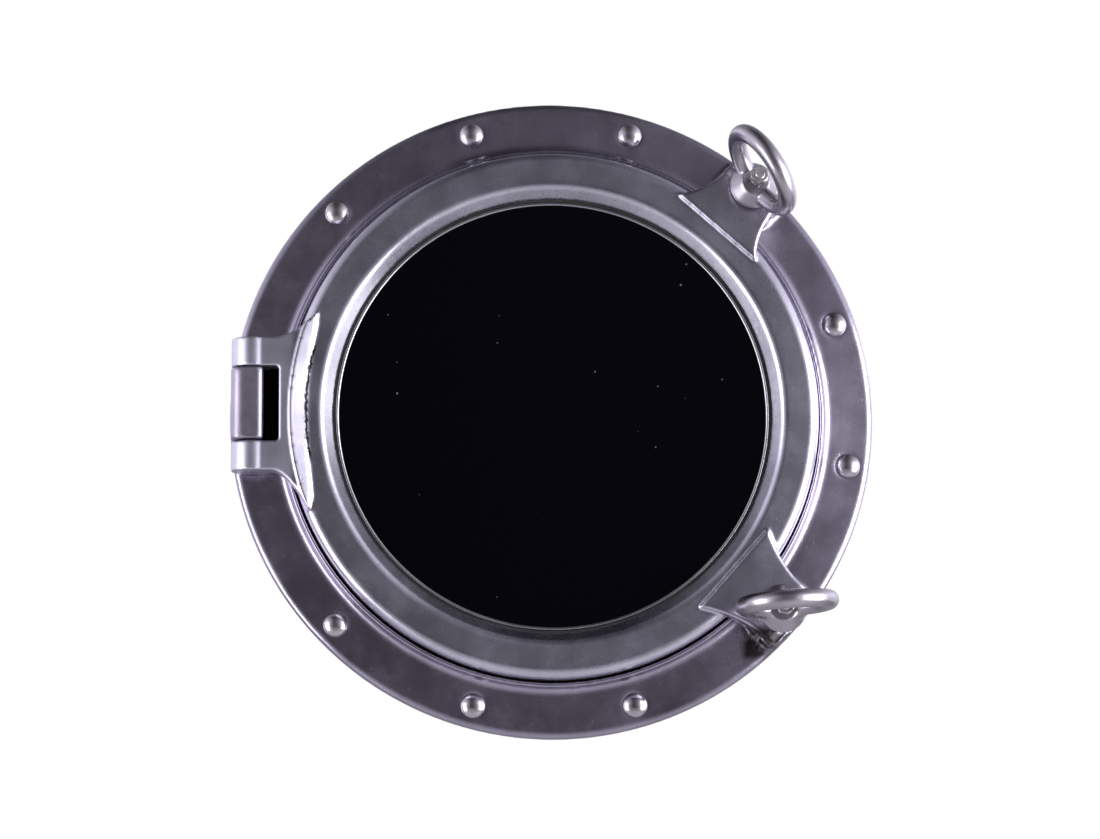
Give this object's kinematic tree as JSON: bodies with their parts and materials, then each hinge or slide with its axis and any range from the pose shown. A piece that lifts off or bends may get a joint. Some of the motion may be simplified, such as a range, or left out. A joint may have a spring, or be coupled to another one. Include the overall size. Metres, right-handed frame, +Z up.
{
  "type": "opening porthole",
  "caption": "Round opening porthole with a bolted flange, hinged glazed door and two swing-bolt dogs with ring nuts.",
  "frame": {"origin": "centre of the flange's back face, which lies on the hull", "axes": "+Y along the sleeve into the hull, -Y out of the front, +Z up, +X to the right seen from the front"},
  "size_m": [0.38, 0.1294, 0.38],
  "materials": {
    "cast_aluminium": "hand-polished casting, slightly mottled",
    "polished_trim": "bright polished",
    "steel": "machined, slightly worn",
    "seal": "matt black",
    "pane": "black, high gloss, opaque from the front"
  },
  "bodies": {
    "frame": {"main_frame": "cast_aluminium", "flange_bolts": "polished_trim", "hull_gasket": "seal", "hinge_pin": "steel", "upper_pivot_pin": "steel", "lower_pivot_pin": "steel"},
    "door": {"door_ring": "cast_aluminium", "door_gasket": "seal", "glass_pane": "pane", "glass_bead": "polished_trim", "glass_seal": "seal", "glass_gasket": "seal", "glass_retainer": "cast_aluminium", "retainer_screws": "steel"},
    "upper_dog": {"upper_swing_bolt": "steel", "upper_stop_nut": "steel"},
    "upper_collar": {"upper_washer": "steel"},
    "upper_nut": {"upper_ring_nut": "cast_aluminium"},
    "lower_dog": {"lower_swing_bolt": "steel", "lower_stop_nut": "steel"},
    "lower_collar": {"lower_washer": "steel"},
    "lower_nut": {"lower_ring_nut": "cast_aluminium"}
  },
  "joints": [
    {"name": "door_hinge", "type": "hinge", "parent": "frame", "child": "door", "pos_m": [-0.1765, -0.0205, 0.0048], "axis": [0, 0, -1], "range_deg": [0, 110]},
    {"name": "upper_dog_swing", "type": "hinge", "parent": "frame", "child": "upper_dog", "pos_m": [0.11662, -0.0135, 0.13182], "axis": [-0.749, 0, 0.6626], "range_deg": [-9, 61]},
    {"name": "upper_nut_spin", "type": "hinge", "parent": "upper_dog", "child": "upper_collar", "pos_m": [0.11662, -0.0135, 0.13182], "axis": [0.1037, -0.9877, 0.1172], "range_deg": [0, 1800]},
    {"name": "upper_nut_travel", "type": "slide", "parent": "upper_collar", "child": "upper_nut", "axis": [0.1037, -0.9877, 0.1172], "range_m": [0, 0.005]},
    {"name": "lower_dog_swing", "type": "hinge", "parent": "frame", "child": "lower_dog", "pos_m": [0.13182, -0.0135, -0.11662], "axis": [0.6626, 0, 0.749], "range_deg": [0, 70]},
    {"name": "lower_nut_spin", "type": "hinge", "parent": "lower_dog", "child": "lower_collar", "pos_m": [0.13182, -0.0135, -0.11662], "axis": [0, -1, 0], "range_deg": [0, 1800]},
    {"name": "lower_nut_travel", "type": "slide", "parent": "lower_collar", "child": "lower_nut", "axis": [0, -1, 0], "range_m": [0, 0.005]}
  ],
  "couplings": [
    {"joint": "upper_nut_travel", "follows": "upper_nut_spin", "m_per_rad": 0.00015915},
    {"joint": "lower_nut_travel", "follows": "lower_nut_spin", "m_per_rad": 0.00015915}
  ]
}
